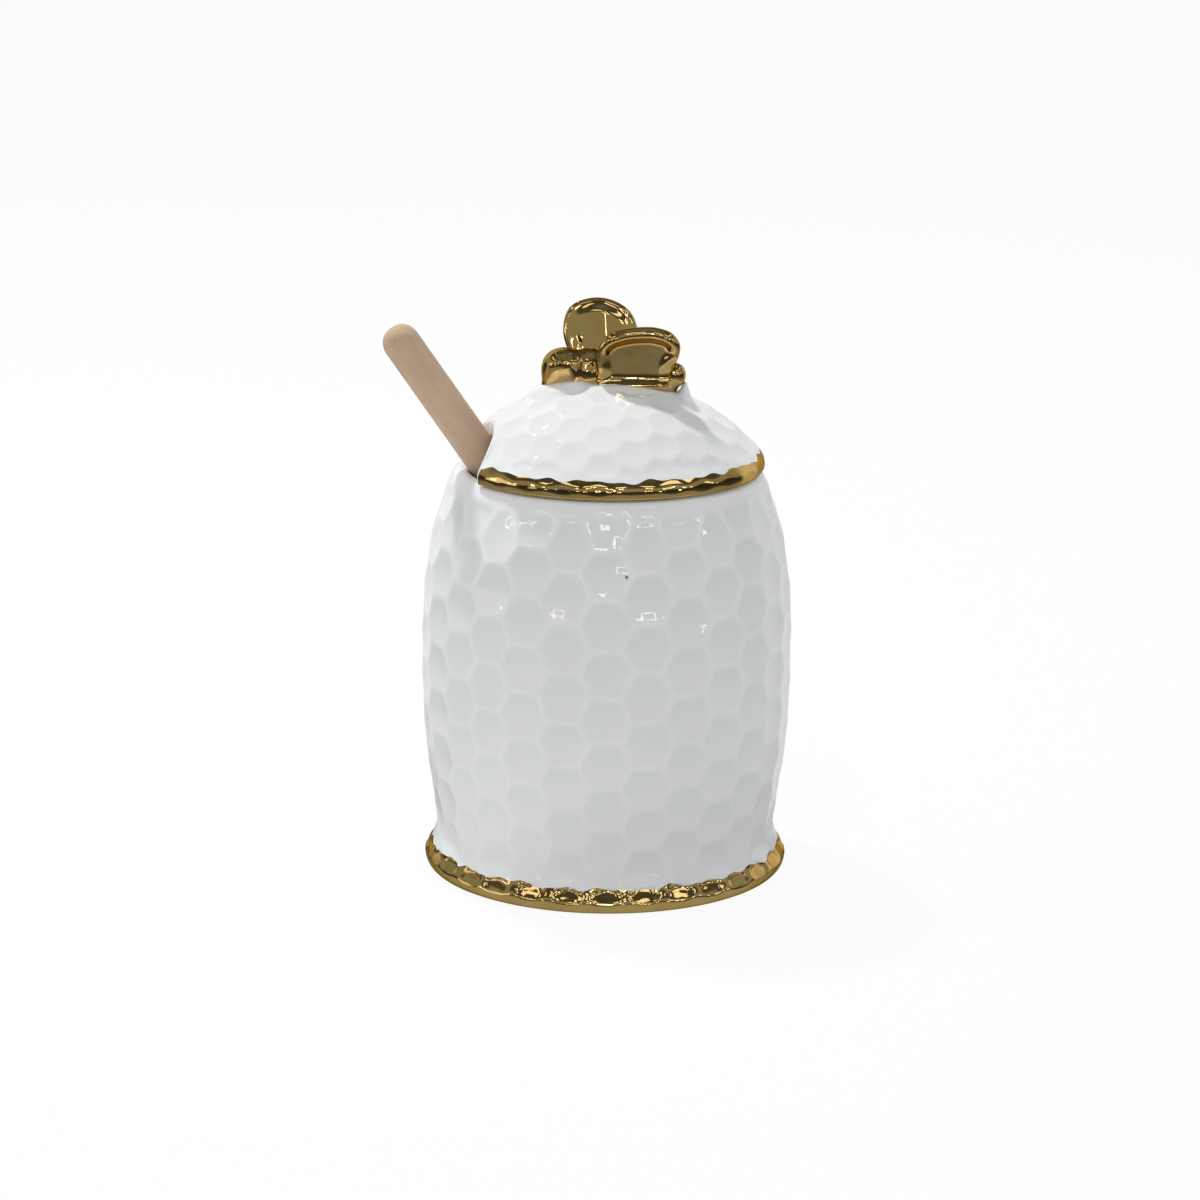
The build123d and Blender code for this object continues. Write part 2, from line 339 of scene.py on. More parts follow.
# %% [markdown]
# ## Finishes
#
# Three finishes cover the whole object. Pictures could be wrapped round it, but noise in Object
# coordinates needs no seams. The glaze is glassy, almost white and faintly wavy. Inside the bowls its
# colour is greyer, most in their upper halves, which face down: that is painted shade, and a point
# attribute says where. One iron speck has come up in front. The gold is a lustre: metal so thin that it
# keeps the smoothness of the glaze under it. Solid gold turns pale at a glancing angle, and a lustre
# stays brown there, which is what Specular Tint is for. The wood is bare beech, and comes with the
# dipper.

# %% Glaze
def finish(name):
    """A new material and its empty shader."""
    material = bpy.data.materials.new(name)
    return material, Shader(material)


glaze, shade = finish("porcelain_glaze")
place = shade.node("TexCoord", out="Object")
cloud = shade.noise(place, 38.0, 3.0)
clear = shade.mix(shade.step(cloud, 0.35, 0.65), (0.870, 0.876, 0.878, 1), (0.895, 0.898, 0.898, 1))
# Painted shade: the colour greys inside the bowls, most in their upper halves, which face down.
painted_shade = shade.node("Attribute", {"attribute_name": "thin_glaze"}, out="Fac")
shaded_colour = shade.mix(painted_shade, clear, (0.795, 0.812, 0.816, 1))
speck_place = (0.0050, -0.0470, 0.0915)
speck = shade.node("VectorMath", {"operation": "DISTANCE"}, {0: place, 1: speck_place}, out="Value")
specked = 1.0 - shade.step(speck, 0.0002, 0.0006)
colour = shade.mix(specked, shaded_colour, (0.16, 0.15, 0.14, 1))
wave = shade.noise(place, 260.0, 2.0) * 0.6 + shade.noise(place, 900.0, 2.0) * 0.12
ripple = shade.node("Bump", {}, {"Strength": 0.03, "Distance": 0.0006, "Height": wave})
rough = shade.step(shade.noise(place, 120.0, 4.0), 0.3, 0.8) * 0.02 + 0.012
skin = shade.node("BsdfPrincipled", {}, {
    "Base Color": colour, "Roughness": rough, "IOR": 1.5, "Normal": ripple})
shade.node("OutputMaterial", {}, {"Surface": skin})
print("glaze:", len(shade.tree.nodes), "nodes")

# %% Gold lustre
gold, shade = finish("gold_lustre")
place = shade.node("TexCoord", out="Object")
cloud = shade.noise(place, 90.0, 4.0)
tone = shade.mix(shade.step(cloud, 0.3, 0.7), (0.68, 0.45, 0.17, 1), (0.76, 0.53, 0.23, 1))
wave = shade.noise(place, 210.0, 1.0)
ripple = shade.node("Bump", {}, {"Strength": 0.10, "Distance": 0.0006, "Height": wave})
rough = shade.step(shade.noise(place, 420.0, 5.0), 0.35, 0.8) * 0.05 + 0.035
glancing = (0.42, 0.34, 0.21, 1)
skin = shade.node("BsdfPrincipled", {}, {
    "Base Color": tone, "Metallic": 1.0, "Roughness": rough, "Normal": ripple, "Specular Tint": glancing})
shade.node("OutputMaterial", {}, {"Surface": skin})
print("gold:", len(shade.tree.nodes), "nodes")

# %% [markdown]
# ## Sizes
#
# Every size below is read from the frame's boxes or is a named length of the shape itself, in
# millimetres. The outline of the pot is drawn as a handful of (radius, height) points, as a thrower
# would mark them on a rib.

# %% Sizes of the pot, from the frame
def corners(node):
    """Lowest and highest corner of a CAD node in millimetres."""
    low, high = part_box(node)
    return low / MM, high / MM


belly_r = corners("pot_body")[1].x
pot_height = corners("pot_body")[1].z
gild_z = corners("pot_foot_rim")[1].z
print(f"pot: {2 * belly_r:.1f} mm across, {pot_height:.1f} mm tall, gilded to {gild_z:.1f} mm")

# %% [markdown]
# ## A smooth line and a lathe
#
# Thrown and moulded ware is round, so a lathe makes most of it: an outline is spun about the axis. A
# Screw modifier would spin it too, but the operator lets each vertex remember its place in the outline.
# The outline has to be smooth and evenly divided, because the relief will move each of its points. A
# Bézier through the marked points gives the curve, and a second pass spaces the points evenly.

# %% Smooth outlines
def smooth_line(marks, step):
    """Points about step apart along a smooth curve through the marks."""
    marks = [Vector((r, z)) for r, z in marks]
    spans = [(b - a).length for a, b in zip(marks, marks[1:])]
    slopes = [(b - a).normalized() for a, b in zip(marks, marks[1:])]
    heads = [slopes[0]]
    for i in range(1, len(marks) - 1):
        heads.append((slopes[i - 1] * spans[i] + slopes[i] * spans[i - 1]).normalized())
    heads.append(slopes[-1])
    fine = []
    for i, span in enumerate(spans):
        start, stop = marks[i], marks[i + 1]
        leave, arrive = start + heads[i] * span / 3, stop - heads[i + 1] * span / 3
        piece = interpolate_bezier(start, leave, arrive, stop, 40)
        fine += [Vector((p[0], p[1])) for p in piece[:-1]]
    fine.append(marks[-1])
    return even_line(fine, step)


def even_line(points, step):
    """The same polyline, with points about step apart."""
    lengths = [0.0]
    for a, b in zip(points, points[1:]):
        lengths.append(lengths[-1] + (b - a).length)
    count = max(1, round(lengths[-1] / step))
    places = np.linspace(0, lengths[-1], count + 1)
    r = np.interp(places, lengths, [p[0] for p in points])
    z = np.interp(places, lengths, [p[1] for p in points])
    return list(zip(r.tolist(), z.tolist()))


print("10 mm in steps of 3 mm:", even_line([Vector((0, 0)), Vector((0, 10))], 3.0))

# %% Outlines that meet, and a lathe to spin them
def join_lines(*lines):
    """One outline from several that meet end to end."""
    whole = list(lines[0])
    for line in lines[1:]:
        whole += line[1:]
    return whole


def lathe(outline, steps):
    """Spin an outline of (radius, height) marks about Z. A vertex remembers its place in the outline."""
    bm = bmesh.new()
    order = bm.verts.layers.float.new("place")
    line = []
    for i, (r, z) in enumerate(outline):
        vert = bm.verts.new((r, 0, z))
        vert[order] = i
        line.append(vert)
    edges = [bm.edges.new(pair) for pair in zip(line, line[1:])]
    bmesh.ops.spin(bm, geom=line + edges, cent=(0, 0, 0), axis=(0, 0, 1), angle=2 * pi, steps=steps,
                   use_merge=True)
    bmesh.ops.remove_doubles(bm, verts=bm.verts, dist=1e-5)
    bmesh.ops.recalc_face_normals(bm, faces=bm.faces)
    return bm


trial = lathe([(0.0, 0.0), (1.0, 0.0), (0.0, 1.0)], 8)
print("a cone spun in 8 steps has", len(trial.faces), "faces")
trial.free()


# %% Turn a bmesh into a piece of the object
def as_mesh(name, bm):
    """Mesh with smooth faces from a bmesh in millimetres."""
    for face in bm.faces:
        face.smooth = True
    mesh = bpy.data.meshes.new(name)
    bm.to_mesh(mesh)
    bm.free()
    return mesh


def get_points(mesh):
    """The places of a mesh's vertices, one row each."""
    points = np.empty(len(mesh.vertices) * 3)
    mesh.vertices.foreach_get("co", points)
    return points.reshape(-1, 3)


def set_points(mesh, points):
    """Move a mesh's vertices to new places."""
    mesh.vertices.foreach_set("co", np.asarray(points, dtype=np.float32).ravel())
    mesh.update()


def note_bowl_shade(mesh, painted_shade):
    """Keep the share of painted shade at each point, 0 to 1, for its material to read."""
    attribute = mesh.attributes.new("thin_glaze", "FLOAT", "POINT")
    attribute.data.foreach_set("value", painted_shade.astype(np.float32))


def add_piece(name, mesh, material, body, node):
    """Put a mesh, drawn in millimetres, into the scene as the piece that stands for a CAD node."""
    mesh.transform(Matrix.Scale(MM, 4))
    mesh.materials.clear()
    mesh.materials.append(material)
    piece = bpy.data.objects.new(name, mesh)
    bpy.context.scene.collection.objects.link(piece)
    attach(piece, body)
    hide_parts(node)
    triangles = sum(len(p.vertices) - 2 for p in mesh.polygons)
    print(f"{name}: {triangles} triangles")


print("helpers for pieces ready")

# %% [markdown]
# ## The relief
#
# The real relief is in the mould: a field of shallow round bowls, packed like honeycomb. Where two
# bowls meet, they leave a soft ridge, and six ridges round a bowl look like a hexagon. Nothing
# hexagonal is drawn. Each bowl is a paraboloid, and a smooth minimum blends them; its softness is how
# thickly the glaze lies over the ridges. Bump alone would be cheaper, and would leave the sides and the
# shine of the pot too smooth, so the points themselves are moved. A ball pressed into a barrel leaves a
# mark that is narrower across than it is tall, so a bowl has two half widths. The depths and places
# vary a little, because the master was carved by hand.

# %% Bowls pressed into a surface
def pressed(points, centres, half_widths, depth, ridge):
    """How far each point sinks (zero or less) under a field of bowls with soft ridges."""
    felt = 2.5  # squared distance, in half widths, at which a bowl is no longer felt
    total = np.ones(len(points))
    points = points / half_widths
    for centre, deep in zip(np.asarray(centres) / half_widths, depth):
        away = ((points - centre) ** 2).sum(axis=1)
        near = away < felt
        total[near] += np.exp(deep * (1.0 - away[near]) / ridge)
    return -ridge * np.log(total)


def blend(value, low, high):
    """0 below low, 1 above high, smooth between."""
    t = np.clip((value - low) / (high - low), 0.0, 1.0)
    return t * t * (3.0 - 2.0 * t)


def thin_glaze(points, centres, half_widths):
    """Painted shade, 0 to 1: in the bowls, most in their upper halves, which face down; never on a ridge.
    """
    far_off = 9.0
    nearest = np.full(len(points), far_off)
    second = np.full(len(points), far_off)
    over = np.zeros(len(points))
    points = points / half_widths
    for centre in np.asarray(centres) / half_widths:
        away = np.sqrt(((points - centre) ** 2).sum(axis=1))
        closer = away < nearest
        second = np.where(closer, nearest, np.minimum(second, away))
        over[closer] = (points - centre)[closer, 2]
        nearest = np.minimum(nearest, away)
    # The first share clears the ridges, and the second makes the painted shade deepest in each bowl's
    # upper half.
    off_ridge = blend(second - nearest, 0.03, 0.42)
    return off_ridge * (0.35 + 0.65 * blend(over, -0.55, 0.55))


trial = pressed(np.zeros((1, 3)), [(0, 0, 0)], (5, 5, 5), [0.8], 0.06)
print(f"a bowl 0.8 mm deep sinks its middle by {-trial[0]:.2f} mm")

# %% [markdown]
# ## The pot
#
# One lathe makes the whole pot: outside, rim, inside and underside. The outside is then pressed with
# bowls. The rows crowd together a little towards the foot, as they do on any barrel whose mould was
# drawn from the top. The gilded foot has a row of its own, one oval hammer mark beside the next.

# %% Outline of the pot
side_marks = [(46.2, 0.0), (48.3, 0.8), (49.3, 3.0), (47.3, 6.8), (46.4, 11.5), (47.0, 19.5),
              (48.4, 29.5), (49.6, 42.5), (belly_r, 58.0), (49.3, 79.5), (47.8, 90.0), (45.7, 98.5),
              (43.1, 105.5), (41.3, 109.2)]
side = smooth_line(side_marks, 0.70)
rim = smooth_line([(41.3, 109.2), (40.2, pot_height), (37.8, pot_height), (37.0, 109.2)], 0.5)
floor_t, corner_r, floor_r = 5.0, 10.0, 32.9
inside = smooth_line([(37.0, 109.2), (39.6, 103.5), (42.2, 98.0), (44.3, 90.0), (46.0, 77.0),
                      (46.5, 58.0), (45.2, 32.0), (floor_r + corner_r, floor_t + corner_r)], 4.5)
corner = [(floor_r + corner_r * cos(a), floor_t + corner_r - corner_r * sin(a))
          for a in np.linspace(0, pi / 2, 7)]
bottom = [(floor_r, floor_t), (16.0, floor_t), (0.0, floor_t)]
gold_start = (41.9, 0.0)
underside = [(0.0, 0.0), (20.0, 0.0), gold_start, (44.0, 0.0), (46.2, 0.0)]
pot_line = join_lines(side, rim, inside, corner, bottom)
print("outline:", len(pot_line), "points")

# %% Spin it
columns = 28
steps = columns * 16
bm = lathe(underside[:-1] + pot_line, steps)
print("pot:", len(bm.verts), "vertices,", sum(not e.is_manifold for e in bm.edges), "open edges")

# %% [markdown]
# The outline is a single line, so the spun pot is one closed skin. Its points are now moved in code:
# first the ring where the gilding ends is made a little wavy, as a brush leaves it, and then the bowls
# are pressed in. Both read the outline again, so a point that slides up or down stays on the pot's
# side.

# %% Where the bowls lie
chance = np.random.default_rng(7)
bowl_depth = 0.76
first_row, row_step, row_growth, top_row = 17.15, 11.6, 0.16, 103.4


def row_height(row):
    """Height of the middle of a row of bowls; odd columns use the half rows."""
    return first_row + row_step * row + row_growth * row * row


side_r = np.array([r for r, z in side])
side_z = np.array([z for r, z in side])


def on_side(angle, z):
    """Points of the pot's side."""
    r = np.interp(z, side_z, side_r)
    return np.stack([r * np.cos(angle), r * np.sin(angle), z], axis=-1)


centres = []
for column in range(columns):
    angle = -pi / 2 + column * 2 * pi / columns
    for row in range(8):
        z = min(row_height(row - 0.5 * (column % 2)), top_row)
        sway = chance.uniform(-0.65, 0.65, 2)
        centres.append(on_side(angle + sway[0] / belly_r, z + sway[1]))
depth = bowl_depth * chance.uniform(0.85, 1.15, len(centres))
print(len(centres), "bowls in", columns, "columns")


# %% A brush's wavy line where the gilding ends
def wobble(angle, waves, seed):
    """A brush's uneven line round the pot, between about -1 and 1."""
    total = np.zeros_like(angle)
    for i, wave in enumerate(waves):
        total += np.sin(wave * angle + 2.4 * (i + 1) * seed) / len(waves) * 1.4
    return total


pot = as_mesh("pot", bm)
points = get_points(pot)
radius = np.hypot(points[:, 0], points[:, 1])
angle = np.arctan2(points[:, 1], points[:, 0])
height = points[:, 2]
# Only the outside moves: not the rim, the inner wall or the underside.
outer = (radius > np.interp(height, side_z, side_r) - 0.4) & (height > 0.01) & (height < 109.3)

brush_sway, brush_reach = 0.7, 2.2
shift = wobble(angle, (13, 21, 30, 44), 1.7) * brush_sway * np.exp(-((height - gild_z) / brush_reach) ** 2)
height = np.where(outer, height + shift, height)
points[outer] = on_side(angle[outer], height[outer])
print(f"gilding line sways by up to {np.abs(shift[outer]).max():.2f} mm")

# %% Press the honeycomb
bowl_wide, bowl_tall, ridge_soft = 6.6, 7.2, 0.06
honeycomb = np.zeros(len(points))
bowls = (bowl_wide, bowl_wide, bowl_tall)
honeycomb[outer] = pressed(points[outer], centres, bowls, depth, ridge_soft)
below_rim = 1.0 - blend(height, pot_height - 5.8, pot_height - 2.6)
above_foot = blend(height, gild_z, gild_z + 3.7)
margin = below_rim * above_foot
honeycomb *= margin
shade_share = np.zeros(len(points))
shade_share[outer] = thin_glaze(points[outer], centres, bowls)
# The bowls' painted shade grows weaker towards the foot.
shade_share *= margin * (0.55 + 0.45 * blend(height, 20.0, 75.0))
print(f"honeycomb: down to {-honeycomb[outer].min():.2f} mm")

# %% Hammer the foot
foot_marks = 30
foot_mark_z, foot_mark_r = 5.0, 48.0
mark_wide, mark_tall, mark_depth, mark_brow, mark_slant = 4.35, 2.1, 0.55, 0.30, 0.4
mark_turn = (angle + pi / 2) * foot_marks / (2 * pi)
nearest = np.round(mark_turn)
# No two marks sit or measure quite the same.
hand = np.random.default_rng(11).uniform(-1, 1, (foot_marks, 3))[nearest.astype(int) % foot_marks]
across = (mark_turn - nearest + hand[:, 0] * 0.05) * 2 * pi * foot_mark_r / foot_marks
across = across / (mark_wide + hand[:, 1] * 0.3)
over = (height - foot_mark_z - hand[:, 2] * 0.35) / mark_tall
marks = -mark_depth * blend(1.0 - np.sqrt(across**2 + over**2), 0.0, mark_brow)
marks = marks * (1.0 + mark_slant * np.clip(over, -1, 1))
sink = np.where(outer, honeycomb + marks, 0.0)
points[:, 0] += np.cos(angle) * sink
points[:, 1] += np.sin(angle) * sink
set_points(pot, points)
note_bowl_shade(pot, shade_share)
print(f"{foot_marks} hammer marks: down to {-marks[outer].min():.2f} mm")

# %% [markdown]
# ## Splitting the gilded foot from the body
#
# The lustre covers the foot up to the wavy ring. Two materials on one mesh would look the same, but the
# frame has a node for each, so the mesh is cut there: below it the foot is gold, above it the body is
# white, and the edge between them is as crisp as a painted one. Each part is closed by drawing its open
# edges in to a hidden core ring, and those edges are marked sharp, so that the skin shades as if uncut.

# %% Cut at the gilding
def face_mean(mesh, values):
    """Mean of a value over the corners of each face."""
    spots = np.empty(len(mesh.loops), dtype=np.int32)
    starts = np.empty(len(mesh.polygons), dtype=np.int32)
    counts = np.empty(len(mesh.polygons), dtype=np.int32)
    mesh.loops.foreach_get("vertex_index", spots)
    mesh.polygons.foreach_get("loop_start", starts)
    mesh.polygons.foreach_get("loop_total", counts)
    return np.add.reduceat(values[spots], starts) / counts


def part_of(mesh, kept, core):
    """Closed bmesh of the faces that are kept; its open edges are drawn in to the core's (r, z)."""
    bm = bmesh.new()
    bm.from_mesh(mesh)
    lost = [face for face, keep in zip(bm.faces, kept) if not keep]
    bmesh.ops.delete(bm, geom=lost, context="FACES")
    border = [edge for edge in bm.edges if edge.is_boundary]
    for edge in border:
        edge.smooth = False
    drawn = bmesh.ops.extrude_edge_only(bm, edges=border)
    inner = [item for item in drawn["geom"] if isinstance(item, bmesh.types.BMVert)]
    for vert in inner:
        angle = atan2(vert.co.y, vert.co.x)
        vert.co = (core[0] * cos(angle), core[0] * sin(angle), core[1])
    bmesh.ops.remove_doubles(bm, verts=inner, dist=0.02)
    bmesh.ops.dissolve_degenerate(bm, dist=1e-4, edges=bm.edges)
    bmesh.ops.recalc_face_normals(bm, faces=bm.faces)
    return bm


gild_place = len(underside) - 1 + int(np.argmin(abs(side_z - gild_z)))
print("gilding follows ring", gild_place, "and ends", gold_start[0], "mm from the axis underneath")

# %% Body and foot
places = np.empty(len(pot.vertices))
pot.attributes["place"].data.foreach_get("value", places)
first_gold = underside.index(gold_start)
foot_core = (45.0, 3.5)
rings = face_mean(pot, places)
in_foot = (rings > first_gold) & (rings < gild_place)
foot_mesh = as_mesh("pot_foot", part_of(pot, in_foot, foot_core))
body_mesh = as_mesh("pot_shell", part_of(pot, ~in_foot, foot_core))
add_piece("pot_shell", body_mesh, glaze, "pot", "pot_body")
add_piece("pot_gilded_foot", foot_mesh, gold, "pot", "pot_foot_rim")

# %% [markdown]
# ## The lid
#
# The lid is a shallow dome with a rolled, gilded rim, a flange that keeps it centred in the mouth, and
# a notch cut while the clay was soft, so its edge is rounded by the sponge and the glaze. A boolean cut
# would leave a hard, ragged edge on such a fine mesh. Instead the lid is spun with as many steps as its
# edge needs, and the columns of points are then led to the real outline: round the rim, in along one
# side of the notch and out again.

# %% Sizes of the lid
seat_z = corners("lid_rim")[0].z
rim_top = corners("lid_rim")[1].z
rim_r = corners("lid_rim")[1].x
dome_r = 53.4
edge_r = 41.2
dome_z = rim_top - sqrt(dome_r**2 - edge_r**2)
shell_t = 3.5
notch_r = 24.2
notch_reach = 31.4
notch_turn = radians(180 + 10.9)
flange_out, flange_in = 36.4, 33.4
print(f"lid: {2 * rim_r:.1f} mm across, dome {dome_z + dome_r:.1f} mm high, seat at {seat_z:.1f} mm")


# %% Outline of the lid seen from above
def lid_edge(count):
    """Evenly spaced points round the lid's edge, notch included, from the point opposite the notch."""
    centre = notch_reach + notch_r
    meet = acos((rim_r**2 + centre**2 - notch_r**2) / (2 * rim_r * centre))
    turn = acos((centre - rim_r * cos(meet)) / notch_r)
    rim_arc = [(rim_r * cos(a), rim_r * sin(a)) for a in np.linspace(-pi, -meet, 300)]
    notch_arc = [(centre - notch_r * cos(a), notch_r * sin(a)) for a in np.linspace(-turn, turn, 120)]
    other_arc = [(x, -y) for x, y in reversed(rim_arc)]
    loop = even_line([Vector(p) for p in rim_arc + notch_arc[1:-1] + other_arc], 0.2)
    xy = np.array(loop[:-1])
    sponge_passes = 14  # each rounds the corners where the notch meets the rim
    for _ in range(sponge_passes):
        xy = (np.roll(xy, 1, axis=0) + 2 * xy + np.roll(xy, -1, axis=0)) / 4
    spread = np.linspace(0, len(xy), count, endpoint=False)
    closed = np.vstack([xy, xy[:1]])
    x = np.interp(spread, range(len(closed)), closed[:, 0])
    y = np.interp(spread, range(len(closed)), closed[:, 1])
    c, s = cos(notch_turn), sin(notch_turn)
    return np.stack([x * c - y * s, x * s + y * c], axis=-1)


lid_steps = 440
edge = lid_edge(lid_steps)
edge_from = np.hypot(edge[:, 0], edge[:, 1])
away = np.hypot(edge[:, 0] - (notch_reach + notch_r) * cos(notch_turn),
                edge[:, 1] - (notch_reach + notch_r) * sin(notch_turn))
in_notch = 1.0 - blend(away, notch_r + 0.1, notch_r + 1.2)
print("lid edge:", lid_steps, "points,", int((in_notch > 0.5).sum()), "of them in the notch")

# %% [markdown]
# The outline below is that of a plain lid, read from the top of the dome, over the rim and back inside.
# Each ring of the spun mesh knows its place in it. For a ring on the dome, a column's points are simply
# shares of the way out to its edge point, lifted onto the ball. For the rim's rings there are two
# shapes, the rolled rim and the cut face of the notch, and `in_notch` blends from one to the other
# round the corner.

# %% Spin the lid
dome_steps = 66
dome_out = even_line([Vector((t, 0)) for t in np.linspace(0, 1, 40)], 1 / dome_steps)
roll = [(edge_r, rim_top), (41.5, 113.75), (41.85, 113.1), (42.0, 112.3), (41.95, 111.6),
        (41.75, 110.95), (41.45, 110.5), (41.1, seat_z)]
seat = [(39.8, seat_z), (38.2, seat_z), (flange_out, seat_z), (flange_out, 108.0), (36.1, 105.2),
        (35.6, 104.8), (34.2, 104.8), (33.7, 105.2), (flange_in, 106.0), (flange_in, 111.0),
        (flange_in, 117.2)]
dome_in = [(t, 0.0) for t in np.linspace(1.0, 0.0, 14)]
outer_level, inner_level = 130, 118  # only keep the rings apart until they are led to the ball
lid_line = ([(r * edge_r, outer_level - r) for r, z in dome_out] + roll + seat
            + [(r * flange_in, inner_level - r) for r, z in dome_in[1:]])
bm = lathe(lid_line, lid_steps)
print("lid:", len(bm.verts), "vertices,", sum(not e.is_manifold for e in bm.edges), "open edges")


# %% Read each point's ring and column, and lead the dome's rings
def ball(radius, away_from_axis):
    """Height of a ball about the dome's centre at a distance from the axis."""
    return dome_z + np.sqrt(radius**2 - np.asarray(away_from_axis) ** 2)


sponge = 1.1
lid = as_mesh("lid", bm)
points = get_points(lid)
place = np.empty(len(points))
lid.attributes["place"].data.foreach_get("value", place)
place = np.round(place).astype(int)
column = np.round(np.arctan2(points[:, 1], points[:, 0]) / (2 * pi) * lid_steps).astype(int) % lid_steps

reach = edge_from[column]
notched = in_notch[column]
toward_edge = edge[column] / reach[:, None]
turn = np.arctan2(edge[column, 1], edge[column, 0])

last_dome = len(dome_out) - 1
share = np.array([r for r, z in dome_out])[np.minimum(place, last_dome)]
# The gilding ends at the dome's last ring, so the rings near it are moved in by a brush's wavy line.
brush = (0.5 + 0.5 * wobble(turn, (11, 17, 28, 39), 0.9)) * 0.022 + 0.006
share = share - brush * (1 - notched) * np.exp(-((1 - share) / 0.03) ** 2)
dome_reach = reach * (edge_r / rim_r) * (1 - notched) + (reach - sponge) * notched
dome_from = share * dome_reach
print("dome:", last_dome + 1, "rings of", lid_steps, "points")

# %% Lead the edge's rings: the rolled rim, and the cut face of the notch
roll_array = np.array(roll)
step_in_roll = np.clip(place - last_dome - 1, 0, len(roll) - 1)
rim_from, rim_z = roll_array[step_in_roll].T
rim_from = rim_from * reach / rim_r
fall = sponge * reach / np.sqrt(dome_r**2 - reach**2)
brow_z = ball(dome_r, reach - sponge)
foot_of_face = np.where(reach > flange_in, seat_z, ball(dome_r - shell_t, np.minimum(reach, flange_in)))
# For each ring: how far it is round the sponged brow, how far down the cut face, and its tuck in mm.
bend = np.array([0.25, 0.5, 0.75, 1.0, 1.0, 1.0, 1.0, 1.0])[step_in_roll]
down = np.array([0.0, 0.0, 0.0, 0.0, 0.35, 0.7, 0.93, 1.0])[step_in_roll]
tuck = np.array([0.0, 0.0, 0.0, 0.0, 0.0, 0.0, 0.1, 0.35])[step_in_roll]
face_from = reach - sponge * (1 - bend) ** 2 - tuck
brow_end = brow_z - fall - 0.8 * sponge
brow = brow_z * (1 - bend) ** 2 + 2 * (brow_z - fall) * bend * (1 - bend) + brow_end * bend**2
face_z = brow + (foot_of_face - brow_end) * down
edge_from_axis = rim_from * (1 - notched) + face_from * notched
edge_z = rim_z * (1 - notched) + face_z * notched
print("edge:", len(roll), "rings, rounded by", sponge, "mm in the notch")

# %% Lead the rings underneath and put the lid together
first_seat = last_dome + 1 + len(roll)
seat_array = np.array(seat)
seat_from, seat_level = seat_array[np.clip(place - first_seat, 0, len(seat) - 1)].T
flange_margin, face_gap = 4.0, 0.6
flange_cut = reach < flange_out + flange_margin
seat_level = np.where(flange_cut, np.maximum(seat_level, seat_z), seat_level)
seat_from = np.minimum(seat_from, reach - face_gap)
under_dome = np.maximum(seat_level, ball(dome_r - shell_t, seat_from))
seat_level = np.where(reach < flange_in + 0.5, under_dome, seat_level)

first_in = first_seat + len(seat)
in_share = np.array([r for r, z in dome_in[1:]])[np.clip(place - first_in, 0, len(dome_in) - 2)]
in_from = in_share * np.minimum(flange_in, reach - face_gap)

on_dome = place <= last_dome
on_edge = (place > last_dome) & (place < first_seat)
on_seat = (place >= first_seat) & (place < first_in)
from_axis = np.select([on_dome, on_edge, on_seat], [dome_from, edge_from_axis, seat_from], in_from)
level = np.select([on_dome, on_edge, on_seat], [ball(dome_r, dome_from), edge_z, seat_level],
                  ball(dome_r - shell_t, in_from))
points = np.column_stack([toward_edge * from_axis[:, None], level])
print(f"lid: {level.min():.1f} to {level.max():.1f} mm above the table")

# %% [markdown]
# ## Bowls on the dome, the bee's bed and its lip
#
# On the dome the honeycomb is laid out as on a map centred on the knob: distances from the top are
# true. The glaze pools into a low bed under the bee, and stands up in a small lip behind its tail.

# %% Lay out the bowls of the dome
cell_step, cell_across = 9.6, 8.3
cells_end = 46.5
map_origin = np.array([-1.5, -31.7])
dome_cells = []
for i in range(-7, 8):
    for j in range(-10, 11):
        spot = map_origin + np.array([cell_across * i, -cell_step / 2 * i - cell_step * j])
        spot = spot + chance.uniform(-0.6, 0.6, 2)
        far = float(np.hypot(*spot))
        if far < cells_end:
            lean = far / dome_r
            out = spot / max(far, 1e-6)
            dome_cells.append((*(out * dome_r * sin(lean)), dome_z + dome_r * cos(lean)))
dome_bowl_depth = 0.52
dome_depth = dome_bowl_depth * chance.uniform(0.8, 1.2, len(dome_cells))
dome_bowl, dome_ridge, dome_shade_share = (5.2, 5.2, 5.2), 0.045, 0.45
print(len(dome_cells), "bowls on the dome")

# %% Press the dome and raise the bee's bed
bed_x, bed_long, bed_wide, bed_rise = 1.3, 20.5, 8.0, 0.5
collar_x, collar_r, collar_rise = -12.6, 7.6, 1.5
lip_x, lip_y, lip_thick, lip_wide, lip_rise = 20.2, -1.6, 1.3, 4.4, 3.9

in_bed = np.hypot((points[:, 0] - bed_x) / bed_long, points[:, 1] / bed_wide)
to_edge = dome_reach - dome_from
margin = blend(to_edge, 0.0, 1.5) * notched + blend(to_edge, 0.6, 3.2) * (1 - notched)
margin *= blend(in_bed, 0.95, 1.25)
cells = pressed(points, dome_cells, dome_bowl, dome_depth, dome_ridge) * margin
# Painted shade in the dome's bowls, as on the pot's side.
shade_share = dome_shade_share * thin_glaze(points, dome_cells, dome_bowl) * margin * on_dome
bed = bed_rise * (1 - blend(in_bed, 0.84, 1.14))
collar_away = np.hypot(points[:, 0] - collar_x, points[:, 1])
collar = 1 - blend(collar_away, collar_r - 1.0, collar_r + 2.6)
bed += collar_rise * collar * blend(-points[:, 0], 2.0, 8.0)
lip_away = np.hypot((points[:, 0] - lip_x) / lip_thick, (points[:, 1] - lip_y) / lip_wide)
lip = lip_rise * np.exp(-lip_away**2.4)
normal = (points - (0, 0, dome_z)) / dome_r
points = np.where(on_dome[:, None], points + normal * (cells + bed)[:, None], points)
points[:, 2] += np.where(on_dome, lip, 0.0)
print(f"bed rises {bed.max():.1f} mm, lip {lip.max():.1f} mm")

